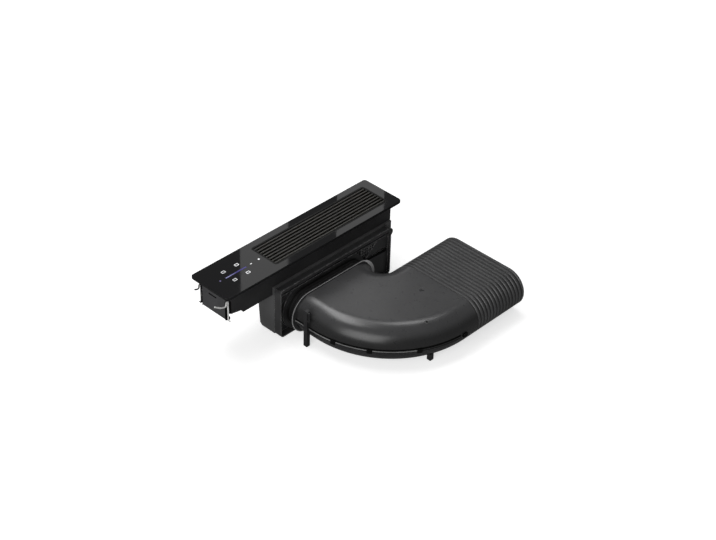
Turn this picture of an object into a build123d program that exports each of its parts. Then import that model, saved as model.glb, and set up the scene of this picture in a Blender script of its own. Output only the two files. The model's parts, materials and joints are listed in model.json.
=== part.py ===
from build123d import *
import math
import os

# Built-in downdraft vent: a glass strip with a louvred grille and a touch control,
# a narrow housing that drops through the worktop, a plenum box under its right half,
# and a moulded 90 degree flat-duct bend with a ribbed outlet.
#
# Origin: centre of the glass strip, on its underside, which is the worktop's top plane.
# +Y runs away from the cook, +X to the cook's right, +Z up.  Millimetres.

os.makedirs("parts", exist_ok=True)

# ---------------------------------------------------------------- driving dimensions
# glass strip
GLASS_W = 115.0
GLASS_L = 520.0
GLASS_T = 6.0
GLASS_CORNER_R = 8.0
GLASS_BEVEL = 0.8
OPENING_W = 72.0
OPENING_FRONT = -103.0
OPENING_BACK = 231.0
OPENING_CORNER_R = 3.0

# seal strip under the glass edge
SEAL_T = 2.0
SEAL_STRIP = 7.0
SEAL_INSET = 1.5

# upper housing
HOUSING_W = 88.0
HOUSING_FRONT = -246.0
HOUSING_BACK = 242.0
HOUSING_DEPTH = 63.0
NOSE_DEPTH = 49.0
NOSE_FALL = 6.5
NOSE_LENGTH = 36.0
NOSE_SLOPE = 5.0
CORNER_CUT = 7.5
HOUSING_WALL = 2.0
HOUSING_CORNER_R = 5.0
FLANGE_REACH = 4.0
FLANGE_T = 1.5
PARTITION_GAP = 8.0

# grille seat and grille
SEAT_DEPTH = 8.0
SEAT_LEDGE = 3.2
SEAT_REBATE = 5.0
FIT_CLEARANCE = 0.5
SMALL_CLEARANCE = 0.3
BAR_COUNT = 8
BAR_PITCH = 9.0
BAR_TOP_W = 4.4
BAR_FOOT_W = 2.6
BAR_TOP_BELOW_GLASS = 0.4
GRILLE_FRAME_T = 3.4
GRILLE_RAIL_W = 5.0
GRILLE_CROSS_W = 4.0
GRILLE_CROSS_COUNT = 4

# grease filter cassette
FILTER_SIDE_CLEARANCE = 1.3
FILTER_H = 20.0
FILTER_BOTTOM = -32.0
FILTER_WALL = 3.0
FILTER_LIP = 5.0
FILTER_SHEET_T = 1.0
FILTER_FOLDS = 30
FILTER_HANDLE_WIRE = 3.0
RAIL_T = 2.0
RAIL_SHELF = 13.0
RAIL_H = 12.0

# touch control under the front of the glass
CONTROL_FRONT = -234.0
CONTROL_BACK = -115.0
CONTROL_W = 76.0
CONTROL_DEPTH = 22.0
CONTROL_WALL = 1.5
BOARD_T = 1.6
BOARD_BELOW_GLASS = 3.4
KEY_X = 18.0
KEY_FRONT_Y = -203.0
KEY_BACK_Y = -166.0
KEY_SIZE = 8.0
SLIDER_FRONT = -213.0
SLIDER_BACK = -156.0
SLIDER_W = 2.6
LIGHT_DOT_R = 1.6
LIGHT_DOTS_Y = (-228.0, -141.5, -119.5)
GLAND_Y = -180.0
GLAND_Z = -36.0
GLAND_R = 7.0
GLAND_BORE_R = 3.6
GLAND_LENGTH = 11.0
GLAND_BEVEL = 1.2

# front end plate
PLATE_T = 2.0
PLATE_DEPTH = 64.0
PLATE_SLOT_L = 25.0
PLATE_SLOT_H = 3.4
PLATE_SLOT_X = -2.5
PLATE_SLOT_Z = -22.8

# wire spring clamps on the housing's cut front corners
WIRE_R = 1.7
WIRE_SIDES = 12
WIRE_CLEARANCE = 0.1
WIRE_STANDOFF = 3.3
WIRE_TOP = -15.5
WIRE_FOOT = -64.6
WIRE_FOOT_REACH = 5.6
WIRE_LOOP = 4.7
WIRE_DIP = -26.3
WIRE_DIP_REACH = 5.5
WIRE_KNEE = -21.8
WIRE_KNEE_REACH = 20.0
WIRE_TIP = -10.4
WIRE_TIP_REACH = 36.0
SHORT_TIP = -22.0
SHORT_TIP_REACH = 16.5
WIRE_BENDS = [2.4, 2.3, 2.3, 4.0, 20.0]
CLAMP_SHIFT = 0.8
CLAMP_LEFT = -6.8
CLAMP_RIGHT = 6.0
CLAMP_TOP = -17.0
CLAMP_FOOT = -47.0
CLAMP_BACK_T = 1.0
TONGUE_RIGHT = -1.0
TONGUE_FOOT = -66.5
CLAMP_EYE_W = 7.6
CLAMP_EYE_TOPS = (-19.5, -55.5)
CLAMP_EYE_H = 6.0
CLAMP_EYE_NOSE = 0.9

# plenum box
PLENUM_FRONT = -122.0
PLENUM_BACK = 236.0
PLENUM_LEFT_TOP = -3.0
PLENUM_LEFT_FOOT = 4.5
PLENUM_RIGHT = 50.0
PLENUM_FOOT = -163.5
PLENUM_CHAMFER = 6.0
PLENUM_SHOULDER = -42.0
PLENUM_WALL = 2.5
PLENUM_SEAL_T = 1.5
MOUTH_LEFT = 4.0
MOUTH_RIGHT = 40.0
MOUTH_FRONT = -98.0
MOUTH_BACK = 226.0

# plenum side cover, an open tray that faces the bend
FLOOR_Z = -166.0
COVER_BACK = 216.0
COVER_TOP = -41.0
COVER_REACH = 20.0
COVER_FLOOR_T = 4.0
COVER_WALL = 2.5
COVER_LIP = 5.0
COVER_CORNER_R = 8.0
BOSS_MARGIN = 15.5
BOSS_T = 7.0
LEDGE_Z = -57.0
COVER_RIB_T = 1.5
COVER_RIB_RISE = 9.0
RIB_FIELD_START = 129.0
RIB_FIELD_PITCH = 8.0
RIB_FIELD_ROW = 7.0
RIB_FIELD_COLUMNS = 7
RIB_FIELD_ROWS = 3
REAR_PANEL_FRONT = 146.0
REAR_SLOPE_BACK = 184.0
REAR_GROOVE_Z = -93.5
REAR_GROOVE_H = 4.0
COVER_CLIP_Y = (-72.0, -8.0, 55.0, 118.0)
COVER_CLIP_W = 12.0
COVER_CLIP_H = 7.0
COVER_EAR = 5.0

# duct axis at the plenum and the flat-oval collar
DUCT_AXIS_Z = -115.5
COLLAR_FRONT = -92.5
COLLAR_BACK = 125.5
COLLAR_H = 85.0
COLLAR_WALL = 2.5
COLLAR_END_X = 91.0
COLLAR_FLANGE = 5.0
BELLOWS_T = 3.0
BELLOWS_BEAD = 2.2
BELLOWS_BEAD_W = 4.0
BELLOWS_BEVEL = 1.4
RING_FRONT = -107.0
RING_BACK = 145.0
RING_H = 100.0
RING_X0 = 85.5
RING_T = 2.5
RING_BEVEL = 0.8

# 90 degree flat-duct bend
BEND_H = 92.0
BEND_FRONT = -97.0
BEND_THROAT_Y = 137.0
BEND_THROAT_CORNER_Y = 100.8
DUCT_LEFT = 133.0
DUCT_RIGHT = 371.0
BEND_OUTER_R = 232.0
BEND_INNER_R = 20.0
BEND_WALL = 3.0
BEND_SHOULDER_R = 45.5
BEND_OVERRUN = 60.0
SEAM_Z = -120.0
SEAM_FLANGE_T = 2.4
SEAM_FLANGE_REACH = 1.8
TRAY_BACK = 115.0
CLIP_W = 12.0
CLIP_H = 10.0
CLIP_PROUD = 3.2
CLIP_ANGLES = (-76.0, -56.0, -30.0, -2.0)

# ribbed outlet
RIB_START = 168.0
RIB_COUNT = 15
RIB_PITCH = 10.28
RIB_HEIGHT = 1.8
RIB_ROOT = 3.6
RIB_FLANK = 1.6
RIB_CREST = 3.5
DUCT_SHELL = 1.6
SLEEVE_T = 2.0
SLEEVE_HALF = 20.0

# feet under the bend
POST_X = 124.5
POST_W = 10.0
POST_D = 6.5
POST_WALL = 2.2
POST_TOP = -72.0
POST_LOOP_W = 7.0
POST_LOOP_H = 24.0
PEG_X = 338.0
PEG_Y = 57.0
PEG_SIZE = 11.0

# fasteners
SCREW_HEAD_R = 3.2
SCREW_HEAD_H = 2.0
SCREW_SHANK_R = 1.6
SCREW_SLOT_W = 0.9
SCREW_SLOT_DEPTH = 0.8
SCREW_LENGTH = 8.0

# ---------------------------------------------------------------- derived sizes
OPENING_MID = (OPENING_FRONT + OPENING_BACK) / 2
OPENING_L = OPENING_BACK - OPENING_FRONT
HALF_W = HOUSING_W / 2
INNER_HALF_W = HALF_W - HOUSING_WALL
PARTITION_Y = OPENING_FRONT - PARTITION_GAP
SEAT_INNER_W = OPENING_W - 2 * SEAT_LEDGE
SEAT_INNER_L = OPENING_L - 2 * SEAT_LEDGE
GRILLE_W = OPENING_W - 2 * FIT_CLEARANCE
GRILLE_L = OPENING_L - 2 * FIT_CLEARANCE
FILTER_W = SEAT_INNER_W - 2 * FILTER_SIDE_CLEARANCE
FILTER_L = SEAT_INNER_L - 2 * FILTER_SIDE_CLEARANCE
FILTER_TOP = FILTER_BOTTOM + FILTER_H
PLATE_FRONT = HOUSING_FRONT - PLATE_T
CORNER_X = HALF_W - CORNER_CUT / 2
CORNER_Y = HOUSING_FRONT + CORNER_CUT / 2
CLAMP_X = CORNER_X - CLAMP_SHIFT / math.sqrt(2)
CLAMP_Y = CORNER_Y - CLAMP_SHIFT / math.sqrt(2)
WIRE_X = CLAMP_X + WIRE_STANDOFF / math.sqrt(2)
WIRE_Y = CLAMP_Y - WIRE_STANDOFF / math.sqrt(2)
PLENUM_TOP = -HOUSING_DEPTH - PLENUM_SEAL_T
COVER_FACE = PLENUM_RIGHT + COVER_REACH
COVER_FLOOR = PLENUM_RIGHT + COVER_FLOOR_T
BOSS_FACE = COVER_FLOOR + BOSS_T
COLLAR_W = COLLAR_BACK - COLLAR_FRONT
COLLAR_MID = (COLLAR_FRONT + COLLAR_BACK) / 2
RING_X1 = RING_X0 + RING_T
RING_MID = (RING_FRONT + RING_BACK) / 2
BEND_TOP = DUCT_AXIS_Z + BEND_H / 2
BEND_FOOT = DUCT_AXIS_Z - BEND_H / 2
DUCT_W = DUCT_RIGHT - DUCT_LEFT
DUCT_MID = (DUCT_LEFT + DUCT_RIGHT) / 2
DUCT_END = RIB_START + RIB_COUNT * RIB_PITCH
BORE_W = DUCT_W - 2 * RIB_HEIGHT - 2 * DUCT_SHELL
BORE_H = BEND_H - 2 * RIB_HEIGHT - 2 * DUCT_SHELL
ARC_X = DUCT_RIGHT - BEND_OUTER_R
ARC_Y = BEND_FRONT + BEND_OUTER_R
OVAL_FLAT = 0.5


# ---------------------------------------------------------------- shared builders
def span_box(x0, x1, y0, y1, z0, z1):
    """Box between two corners."""
    size = Box(x1 - x0, y1 - y0, z1 - z0)
    return Pos((x0 + x1) / 2, (y0 + y1) / 2, (z0 + z1) / 2) * size


def slab(width, length, radius, z0, z1, mid_y=0.0):
    """Rounded rectangle, centred on the YZ plane, between two heights."""
    face = Pos(0, mid_y, z0) * RectangleRounded(width, length, radius)
    return extrude(face, z1 - z0)


def rod(radius, length, start, direction):
    """Round bar from a point along a direction."""
    plane = Plane(origin=start, z_dir=direction)
    return extrude(plane * Circle(radius), length)


def oval(width, height):
    """Flat-duct section: short flats top to bottom, quarter arcs at the ends."""
    return RectangleRounded(width, height, height / 2 - OVAL_FLAT)


def oval_on_x(width, height, mid_y, x0, x1):
    """Flat-oval bar along X, on the duct's height."""
    plane = Plane(origin=(x0, mid_y, DUCT_AXIS_Z), x_dir=(0, 1, 0), z_dir=(1, 0, 0))
    return extrude(plane * oval(width, height), x1 - x0)


def oval_on_y(width, height, y0, y1):
    """Flat-oval bar along Y, on the outlet's centre line."""
    plane = Plane(origin=(DUCT_MID, y1, DUCT_AXIS_Z), x_dir=(1, 0, 0), z_dir=(0, -1, 0))
    return extrude(plane * oval(width, height), y1 - y0)


def screw(start, direction):
    """Pan-head screw whose head seats at a point; the shank runs along the direction."""
    shank = rod(SCREW_SHANK_R, SCREW_LENGTH, start, direction)
    back = tuple(-part for part in direction)
    head = rod(SCREW_HEAD_R, SCREW_HEAD_H, start, back)
    far = Plane(origin=start, z_dir=back)
    slot_face = far.offset(SCREW_HEAD_H - SCREW_SLOT_DEPTH) * Rectangle(2 * SCREW_HEAD_R, SCREW_SLOT_W)
    slot = extrude(slot_face, SCREW_SLOT_DEPTH)
    return shank + head - slot


def mirror_x(shape):
    return mirror(shape, about=Plane.YZ)


def save(name, *shapes):
    """Write one node, from one solid or a group of separate ones."""
    solids = [piece for shape in shapes for piece in shape.solids()]
    whole = solids[0] if len(solids) == 1 else Compound(children=solids)
    whole.label = name
    export_step(whole, "parts/" + name + ".step")


# ---------------------------------------------------------------- glass and seal
def glass_panel():
    panel = slab(GLASS_W, GLASS_L, GLASS_CORNER_R, 0, GLASS_T)
    panel = panel - slab(OPENING_W, OPENING_L, OPENING_CORNER_R, -1, GLASS_T + 1, OPENING_MID)
    return chamfer(panel.edges().group_by(Axis.Z)[-1], GLASS_BEVEL)


def glass_seal():
    outer_w = GLASS_W - 2 * SEAL_INSET
    outer_l = GLASS_L - 2 * SEAL_INSET
    outer_r = GLASS_CORNER_R - SEAL_INSET
    strip = slab(outer_w, outer_l, outer_r, -SEAL_T, 0)
    inner = slab(outer_w - 2 * SEAL_STRIP, outer_l - 2 * SEAL_STRIP, 1.5, -SEAL_T - 1, 1)
    return strip - inner


# ---------------------------------------------------------------- upper housing
def housing_side(inset):
    """Side outline of the housing in the YZ plane; the nose is shallower than the rest."""
    front = HOUSING_FRONT + inset
    back = HOUSING_BACK - inset
    nose = front + NOSE_LENGTH
    outline = Polyline(
        (front, 0),
        (front, -NOSE_DEPTH + inset),
        (nose, -NOSE_DEPTH - NOSE_FALL + inset),
        (nose + NOSE_SLOPE, -HOUSING_DEPTH + inset),
        (back, -HOUSING_DEPTH + inset),
        (back, 0),
        close=True,
    )
    return Plane.YZ * make_face(outline)


def corner_blocks(inset):
    """Room cut off both front corners of the housing at 45 degrees, grown inwards by an inset."""
    size = 40.0
    shift = (size / 2 - inset) / math.sqrt(2)
    block = Pos(CORNER_X + shift, CORNER_Y - shift, 0) * Rot(0, 0, 45) * Box(size, size, 4 * HOUSING_DEPTH)
    return block + mirror_x(block)


def plate_slot(depth):
    """Long slot through the front plate and the wall behind it."""
    slot_at = Plane(origin=(PLATE_SLOT_X, PLATE_FRONT - 1, PLATE_SLOT_Z), x_dir=(1, 0, 0), z_dir=(0, 1, 0))
    return extrude(slot_at * SlotOverall(PLATE_SLOT_L, PLATE_SLOT_H), depth + 1)


def housing_body():
    tub = extrude(housing_side(0), HALF_W, both=True) - corner_blocks(0)
    tub = fillet(tub.edges().filter_by(Axis.Z).group_by(Axis.Y)[-1], HOUSING_CORNER_R)
    hollow = extrude(housing_side(HOUSING_WALL), INNER_HALF_W, both=True)
    inner_r = HOUSING_CORNER_R - HOUSING_WALL
    hollow = fillet(hollow.edges().filter_by(Axis.Z).group_by(Axis.Y)[-1], inner_r)
    hollow = hollow - corner_blocks(HOUSING_WALL)
    tub = tub - hollow
    flange_l = HOUSING_BACK - HOUSING_FRONT + 2 * FLANGE_REACH
    flange_mid = (HOUSING_BACK + HOUSING_FRONT) / 2
    flange = slab(HOUSING_W + 2 * FLANGE_REACH, flange_l, 4, -FLANGE_T, 0, flange_mid)
    tub = tub + (flange - hollow - corner_blocks(-FLANGE_REACH))
    wall_foot = -HOUSING_DEPTH + 1
    wall_front = PARTITION_Y - HOUSING_WALL
    partition = span_box(-INNER_HALF_W, INNER_HALF_W, wall_front, PARTITION_Y, wall_foot, -SEAT_DEPTH - 1)
    tub = tub + partition
    mouth_w = MOUTH_RIGHT - MOUTH_LEFT
    mouth_l = MOUTH_BACK - MOUTH_FRONT
    mouth_at = Pos((MOUTH_LEFT + MOUTH_RIGHT) / 2, (MOUTH_FRONT + MOUTH_BACK) / 2, -HOUSING_DEPTH - 1)
    mouth = extrude(mouth_at * RectangleRounded(mouth_w, mouth_l, 6), HOUSING_WALL + 2)
    gland_hole = rod(GLAND_R - 2, 2 * HOUSING_WALL, (-HALF_W - 1, GLAND_Y, GLAND_Z), (1, 0, 0))
    return tub - mouth - gland_hole - plate_slot(PLATE_T + 2 * HOUSING_WALL)


def cable_gland():
    """Round strain relief in the left wall, with a collar outside and a neck inside."""
    start = (-HALF_W, GLAND_Y, GLAND_Z)
    collar = rod(GLAND_R, GLAND_LENGTH - 5, start, (-1, 0, 0))
    collar = chamfer(collar.edges().group_by(Axis.X)[0], GLAND_BEVEL)
    neck = rod(GLAND_R - 2 - SMALL_CLEARANCE, HOUSING_WALL + 3, start, (1, 0, 0))
    bore = rod(GLAND_BORE_R, 3 * GLAND_LENGTH, (-HALF_W - GLAND_LENGTH, GLAND_Y, GLAND_Z), (1, 0, 0))
    return collar + neck - bore


# ---------------------------------------------------------------- front end plate and clamps
def front_plate():
    plate = span_box(-HALF_W, HALF_W, PLATE_FRONT, HOUSING_FRONT, -PLATE_DEPTH, -FLANGE_T)
    return plate - corner_blocks(0) - plate_slot(PLATE_T + 1)


def clamp_bracket():
    """Corner bracket with two open eyes for the wire's leg, built facing the cook, then turned."""
    face = -CLAMP_BACK_T
    bracket = span_box(CLAMP_LEFT, CLAMP_RIGHT, face, 0, CLAMP_FOOT, CLAMP_TOP)
    bracket = bracket + span_box(CLAMP_LEFT, TONGUE_RIGHT, face, 0, TONGUE_FOOT, CLAMP_FOOT)
    half = CLAMP_EYE_W / 2
    nose = -WIRE_STANDOFF - CLAMP_EYE_NOSE
    for top in CLAMP_EYE_TOPS:
        bracket = bracket + span_box(-half, half, nose, face, top - CLAMP_EYE_H, top)
    hole_foot = TONGUE_FOOT - 1
    hole = rod(WIRE_R + WIRE_CLEARANCE, CLAMP_TOP + 1 - hole_foot, (0, -WIRE_STANDOFF, hole_foot), (0, 0, 1))
    return Pos(CLAMP_X, CLAMP_Y, 0) * Rot(0, 0, 45) * (bracket - hole)


def clamp_wire(*arm):
    """Right-hand spring wire: kinked foot, upright leg in the eyes, hairpin, sprung arm forwards."""
    x, y = WIRE_X, WIRE_Y
    path = FilletPolyline(
        (x + WIRE_FOOT_REACH, y, WIRE_FOOT),
        (x, y, WIRE_FOOT),
        (x, y, WIRE_TOP),
        (x, y - WIRE_LOOP, WIRE_TOP),
        (x, y - WIRE_DIP_REACH, WIRE_DIP),
        *[(x, y - reach, level) for reach, level in arm],
        radius=WIRE_BENDS[: 3 + len(arm)],
    )
    section = Plane(origin=path @ 0, z_dir=path % 0) * RegularPolygon(WIRE_R, WIRE_SIDES)
    return sweep(section, path, transition=Transition.RIGHT)


# ---------------------------------------------------------------- grille, its seat and the filter
def grille_seat():
    outer_w = 2 * INNER_HALF_W - 2 * SMALL_CLEARANCE
    front = PARTITION_Y + SMALL_CLEARANCE
    back = HOUSING_BACK - HOUSING_WALL - SMALL_CLEARANCE
    ring = slab(outer_w, back - front, 3, -SEAT_DEPTH, 0, (front + back) / 2)
    well = slab(SEAT_INNER_W, SEAT_INNER_L, 3, -SEAT_DEPTH - 1, 1, OPENING_MID)
    rebate = slab(OPENING_W, OPENING_L, OPENING_CORNER_R, -SEAT_REBATE, 1, OPENING_MID)
    return ring - well - rebate


def grille_frame():
    """Ladder frame that carries the bars and drops into the seat's rebate."""
    foot = -SEAT_REBATE
    top = foot + GRILLE_FRAME_T
    frame = slab(GRILLE_W, GRILLE_L, 2.5, foot, top, OPENING_MID)
    window_w = GRILLE_W - 2 * GRILLE_RAIL_W
    window_l = GRILLE_L - 2 * GRILLE_RAIL_W
    frame = frame - slab(window_w, window_l, 2, foot - 1, top + 1, OPENING_MID)
    gap = GRILLE_L / (GRILLE_CROSS_COUNT + 1)
    half = GRILLE_CROSS_W / 2
    half_w = GRILLE_W / 2 - GRILLE_RAIL_W / 2
    for index in range(GRILLE_CROSS_COUNT):
        mid = OPENING_FRONT + FIT_CLEARANCE + gap * (index + 1)
        frame = frame + span_box(-half_w, half_w, mid - half, mid + half, foot, top)
    return frame


def grille_bar(mid_x):
    """One lengthwise bar, wide and rounded on top, narrow at the foot."""
    foot = -SEAT_REBATE + GRILLE_FRAME_T
    top = GLASS_T - BAR_TOP_BELOW_GLASS
    half_top = BAR_TOP_W / 2
    half_foot = BAR_FOOT_W / 2
    outline = Polyline(
        (mid_x - half_foot, foot),
        (mid_x + half_foot, foot),
        (mid_x + half_top, top - 2),
        (mid_x + half_top, top),
        (mid_x - half_top, top),
        (mid_x - half_top, top - 2),
        close=True,
    )
    face = make_face(outline)
    face = fillet(face.vertices().group_by(Axis.Y)[-1], 1.0)
    start = OPENING_BACK - FIT_CLEARANCE
    plane = Plane(origin=(0, start, 0), x_dir=(1, 0, 0), z_dir=(0, -1, 0))
    return extrude(plane * face, GRILLE_L)


def grille_bars():
    first = -BAR_PITCH * (BAR_COUNT - 1) / 2
    return [grille_bar(first + BAR_PITCH * index) for index in range(BAR_COUNT)]


def filter_rail():
    """Right-hand angle that carries the filter along the housing wall."""
    front = PARTITION_Y
    back = HOUSING_BACK - HOUSING_CORNER_R
    shelf_top = FILTER_BOTTOM
    shelf = span_box(INNER_HALF_W - RAIL_SHELF, INNER_HALF_W, front, back, shelf_top - RAIL_T, shelf_top)
    upright = span_box(INNER_HALF_W - RAIL_T, INNER_HALF_W, front, back, shelf_top - RAIL_H, shelf_top)
    return shelf + upright


def filter_frame():
    frame = slab(FILTER_W, FILTER_L, 4, FILTER_BOTTOM, FILTER_TOP, OPENING_MID)
    hollow_w = FILTER_W - 2 * FILTER_WALL
    hollow_l = FILTER_L - 2 * FILTER_WALL
    hollow = slab(hollow_w, hollow_l, 0.5, FILTER_BOTTOM + 2, FILTER_TOP - 2, OPENING_MID)
    window_w = FILTER_W - 2 * FILTER_WALL - 2 * FILTER_LIP
    window_l = FILTER_L - 2 * FILTER_WALL - 2 * FILTER_LIP
    window = slab(window_w, window_l, 3, FILTER_BOTTOM - 1, FILTER_TOP + 1, OPENING_MID)
    return frame - hollow - window


def filter_pleats():
    """Pleated metal mesh sheet inside the filter frame, folded across its length."""
    low = FILTER_BOTTOM + 2 + SMALL_CLEARANCE
    high = FILTER_TOP - 2 - SMALL_CLEARANCE - FILTER_SHEET_T
    half_l = FILTER_L / 2 - FILTER_WALL - SMALL_CLEARANCE
    pitch = 2 * half_l / FILTER_FOLDS
    points = []
    for index in range(FILTER_FOLDS + 1):
        level = high if index % 2 else low
        points.append((OPENING_MID - half_l + pitch * index, level))
    back = [(y, z + FILTER_SHEET_T) for y, z in reversed(points)]
    face = Plane.YZ * make_face(Polyline(*points, *back, close=True))
    half_w = FILTER_W / 2 - FILTER_WALL - SMALL_CLEARANCE
    return extrude(face, half_w, both=True)


def filter_handle():
    """Wire bail that stands on the filter's rim, just under the grille."""
    half = FILTER_HANDLE_WIRE / 2
    side = FILTER_W / 2 - FILTER_WALL - FILTER_LIP + half + 1
    top = -SEAT_REBATE - SMALL_CLEARANCE - 1.0
    front = OPENING_MID - half
    back = OPENING_MID + half
    bar = span_box(-side - half, side + half, front, back, top - FILTER_HANDLE_WIRE, top)
    for x in (-side, side):
        bar = bar + span_box(x - half, x + half, front, back, FILTER_TOP, top)
    return bar


# ---------------------------------------------------------------- touch control
def control_box():
    top = -SMALL_CLEARANCE
    foot = top - CONTROL_DEPTH
    half = CONTROL_W / 2
    box = span_box(-half, half, CONTROL_FRONT, CONTROL_BACK, foot, top)
    box = fillet(box.edges().filter_by(Axis.Z), 4)
    wall = CONTROL_WALL
    front = CONTROL_FRONT + wall
    back = CONTROL_BACK - wall
    hollow = span_box(-half + wall, half - wall, front, back, foot + wall, top + 1)
    box = box - fillet(hollow.edges().filter_by(Axis.Z), 2.5)
    board_foot = -BOARD_BELOW_GLASS - BOARD_T
    for x in (-half + 8, half - 8):
        for y in (CONTROL_FRONT + 8, CONTROL_BACK - 8):
            box = box + rod(2.5, board_foot - foot, (x, y, foot), (0, 0, 1))
    return box


def control_board():
    half = CONTROL_W / 2 - CONTROL_WALL - 1
    front = CONTROL_FRONT + CONTROL_WALL + 1
    back = CONTROL_BACK - CONTROL_WALL - 1
    top = -BOARD_BELOW_GLASS
    return span_box(-half, half, front, back, top - BOARD_T, top)


def light_guides():
    """Clear guides that carry light from the board up to the glass: keys, slider and dots."""
    foot = -BOARD_BELOW_GLASS
    top = -SMALL_CLEARANCE / 3
    guides = []
    for x in (-KEY_X, KEY_X):
        for y in (KEY_FRONT_Y, KEY_BACK_Y):
            key = Pos(x, y, foot) * RectangleRounded(KEY_SIZE, KEY_SIZE, 2)
            guides.append(extrude(key, top - foot))
    slider = Pos(0, (SLIDER_FRONT + SLIDER_BACK) / 2, foot) * RectangleRounded(
        SLIDER_W, SLIDER_BACK - SLIDER_FRONT, SLIDER_W / 2 - 0.1
    )
    guides.append(extrude(slider, top - foot))
    for y in LIGHT_DOTS_Y:
        guides.append(rod(LIGHT_DOT_R, top - foot, (0, y, foot), (0, 0, 1)))
    return guides


# ---------------------------------------------------------------- plenum
def plenum_outline(inset):
    """Plenum section in the XZ plane: leaning left wall, chamfered foot, raised right shoulder."""
    left = PLENUM_LEFT_TOP + inset
    shoulder_x = HALF_W + SMALL_CLEARANCE + inset
    foot = PLENUM_FOOT + inset
    right = PLENUM_RIGHT - inset
    top = PLENUM_TOP - inset
    shoulder = PLENUM_SHOULDER - inset
    cut = PLENUM_CHAMFER
    foot_left = PLENUM_LEFT_FOOT + inset
    outline = Polyline(
        (left, top),
        (shoulder_x, top),
        (shoulder_x, shoulder),
        (right, shoulder),
        (right, foot),
        (foot_left + cut, foot),
        (foot_left, foot + cut),
        close=True,
    )
    return make_face(outline)


def plenum_body():
    plane = Plane(origin=(0, PLENUM_BACK, 0), x_dir=(1, 0, 0), z_dir=(0, -1, 0))
    shell = extrude(plane * plenum_outline(0), PLENUM_BACK - PLENUM_FRONT)
    inner_plane = plane.offset(PLENUM_WALL)
    hollow = extrude(inner_plane * plenum_outline(PLENUM_WALL), PLENUM_BACK - PLENUM_FRONT - 2 * PLENUM_WALL)
    shell = shell - hollow
    mouth_mid = ((MOUTH_LEFT + MOUTH_RIGHT) / 2, (MOUTH_FRONT + MOUTH_BACK) / 2)
    mouth = Pos(mouth_mid[0], mouth_mid[1], PLENUM_TOP - 2 * PLENUM_WALL) * RectangleRounded(
        MOUTH_RIGHT - MOUTH_LEFT, MOUTH_BACK - MOUTH_FRONT, 6
    )
    shell = shell - extrude(mouth, 3 * PLENUM_WALL)
    side_hole = oval_on_x(COLLAR_W, COLLAR_H, COLLAR_MID, PLENUM_RIGHT - 2 * PLENUM_WALL, PLENUM_RIGHT + 1)
    shell = shell - side_hole
    return shell - cover_screw_holes()


def plenum_seal():
    """Flat gasket round the mouth between the housing floor and the plenum."""
    mouth_w = MOUTH_RIGHT - MOUTH_LEFT
    mouth_l = MOUTH_BACK - MOUTH_FRONT
    at = Pos((MOUTH_LEFT + MOUTH_RIGHT) / 2, (MOUTH_FRONT + MOUTH_BACK) / 2, PLENUM_TOP)
    ring = extrude(at * RectangleRounded(mouth_w + 7, mouth_l + 12, 8), PLENUM_SEAL_T)
    hole = extrude(at * RectangleRounded(mouth_w, mouth_l, 6), PLENUM_SEAL_T)
    return ring - hole


def cover_room():
    """Space inside the side cover's tray, open on its right side."""
    wall = COVER_WALL
    room = span_box(
        COVER_FLOOR,
        COVER_FACE + 1,
        PLENUM_FRONT + wall,
        COVER_BACK - wall,
        FLOOR_Z + wall,
        COVER_TOP - COVER_LIP - wall,
    )
    return fillet(room.edges().filter_by(Axis.X), COVER_CORNER_R - wall)


def cover_channel():
    """Sunken top of the tray, behind the lip of its rim."""
    wall = COVER_WALL
    return span_box(
        PLENUM_RIGHT,
        COVER_FACE - wall,
        PLENUM_FRONT + wall,
        COVER_BACK - wall,
        COVER_TOP - COVER_LIP,
        COVER_TOP + 1,
    )


def side_cover():
    """Open moulded tray on the plenum's right side, with a boss for the duct collar."""
    tray = span_box(PLENUM_RIGHT, COVER_FACE, PLENUM_FRONT, COVER_BACK, FLOOR_Z, COVER_TOP)
    tray = fillet(tray.edges().filter_by(Axis.X), COVER_CORNER_R)
    ear_at = (PLENUM_RIGHT, COVER_BACK - COVER_EAR, LEDGE_Z + COVER_EAR)
    tray = tray + rod(2 * COVER_EAR, COVER_REACH, ear_at, (1, 0, 0))
    room = cover_room()
    boss_w = COLLAR_W + 2 * BOSS_MARGIN
    boss_h = COLLAR_H + 2 * BOSS_MARGIN
    boss = oval_on_x(boss_w, boss_h, COLLAR_MID, COVER_FLOOR - 1, BOSS_FACE)
    clear = oval_on_x(boss_w, boss_h, COLLAR_MID, COVER_FLOOR - 2, COVER_FACE + 1)
    tray = (tray - room - cover_channel()) + (boss & room) + ((cover_ribs() - clear) & room)
    hole = oval_on_x(COLLAR_W, COLLAR_H, COLLAR_MID, PLENUM_RIGHT - 1, COVER_FACE + 1)
    return tray - hole - cover_screw_holes()


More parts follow.
